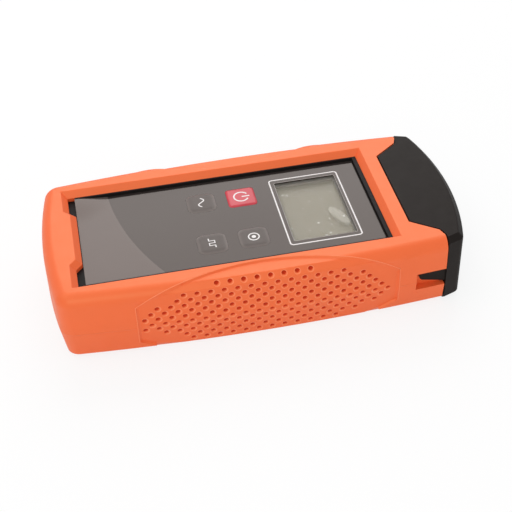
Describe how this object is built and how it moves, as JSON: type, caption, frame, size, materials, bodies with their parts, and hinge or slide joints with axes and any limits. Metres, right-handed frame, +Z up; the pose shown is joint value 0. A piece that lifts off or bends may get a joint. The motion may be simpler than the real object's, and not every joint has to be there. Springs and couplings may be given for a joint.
{
  "type": "handheld optical light source",
  "caption": "Handheld laser light source for fibre testing: black case in a bowed rubber boot with dimpled grips, soft keys, a recessed display and a pull-off dust cap over the optical port.",
  "frame": {"origin": "middle of the footprint, on the face that the instrument lies on", "axes": "+X from the tail to the optical port, +Y across, +Z up out of the keys"},
  "size_m": [0.175, 0.0842, 0.0333],
  "materials": {
    "boot_rubber": "matt moulded rubber",
    "cap_black": "fine matt texture",
    "case_black": "fine matt texture",
    "overlay_grey": "glossy printed film",
    "window_clear": "clear pane",
    "key_grey": "satin",
    "key_red": "satin",
    "lcd_grey": "reflective liquid crystal glass",
    "holder_white": "plain",
    "strip_rubber": "plain",
    "board_green": "solder mask",
    "switch_black": "plain",
    "chip_black": "plain",
    "screw_steel": "zinc plated",
    "cell_jacket": "shrunk plastic jacket",
    "contact_metal": "nickel plated",
    "adapter_metal": "nickel plated",
    "sleeve_white": "polished zirconia",
    "laser_metal": "turned",
    "flex_amber": "film"
  },
  "bodies": {
    "instrument": {"protective_boot": "boot_rubber", "front_case": "case_black", "rear_case": "case_black", "graphic_overlay": "overlay_grey", "display_window": "window_clear", "lcd_panel": "lcd_grey", "lcd_holder": "holder_white", "contact_strip": "strip_rubber", "main_board": "board_green", "key_switches": "switch_black", "controller_chip": "chip_black", "laser_driver_chip": "chip_black", "board_screws": "screw_steel", "case_screws": "screw_steel", "adapter_screws": "screw_steel", "cell_left": "cell_jacket", "cell_middle": "cell_jacket", "cell_right": "cell_jacket", "plate_contacts": "contact_metal", "spring_contacts": "contact_metal", "optical_adapter": "adapter_metal", "ferrule_sleeve": "sleeve_white", "laser_module": "laser_metal", "laser_flex": "flex_amber"},
    "cap": {"dust_cap": "cap_black"},
    "door": {"battery_door": "case_black"},
    "wavelength_button": {"wavelength_key": "key_grey"},
    "power_button": {"power_key": "key_red"},
    "mode_button": {"mode_key": "key_grey"},
    "identify_button": {"identify_key": "key_grey"}
  },
  "joints": [
    {"name": "cap_pull", "type": "slide", "parent": "instrument", "child": "cap", "axis": [1, 0, 0], "range_m": [0, 0.06]},
    {"name": "door_hinge", "type": "hinge", "parent": "instrument", "child": "door", "pos_m": [-0.02212, 0, 0.0038], "axis": [0, -1, 0], "range_deg": [0, 80]},
    {"name": "wavelength_press", "type": "slide", "parent": "instrument", "child": "wavelength_button", "axis": [0, 0, -1], "range_m": [0, 0.0005], "stiffness_N_per_m": 500, "springref_m": -0.001},
    {"name": "power_press", "type": "slide", "parent": "instrument", "child": "power_button", "axis": [0, 0, -1], "range_m": [0, 0.0005], "stiffness_N_per_m": 500, "springref_m": -0.001},
    {"name": "mode_press", "type": "slide", "parent": "instrument", "child": "mode_button", "axis": [0, 0, -1], "range_m": [0, 0.0005], "stiffness_N_per_m": 500, "springref_m": -0.001},
    {"name": "identify_press", "type": "slide", "parent": "instrument", "child": "identify_button", "axis": [0, 0, -1], "range_m": [0, 0.0005], "stiffness_N_per_m": 500, "springref_m": -0.001}
  ]
}
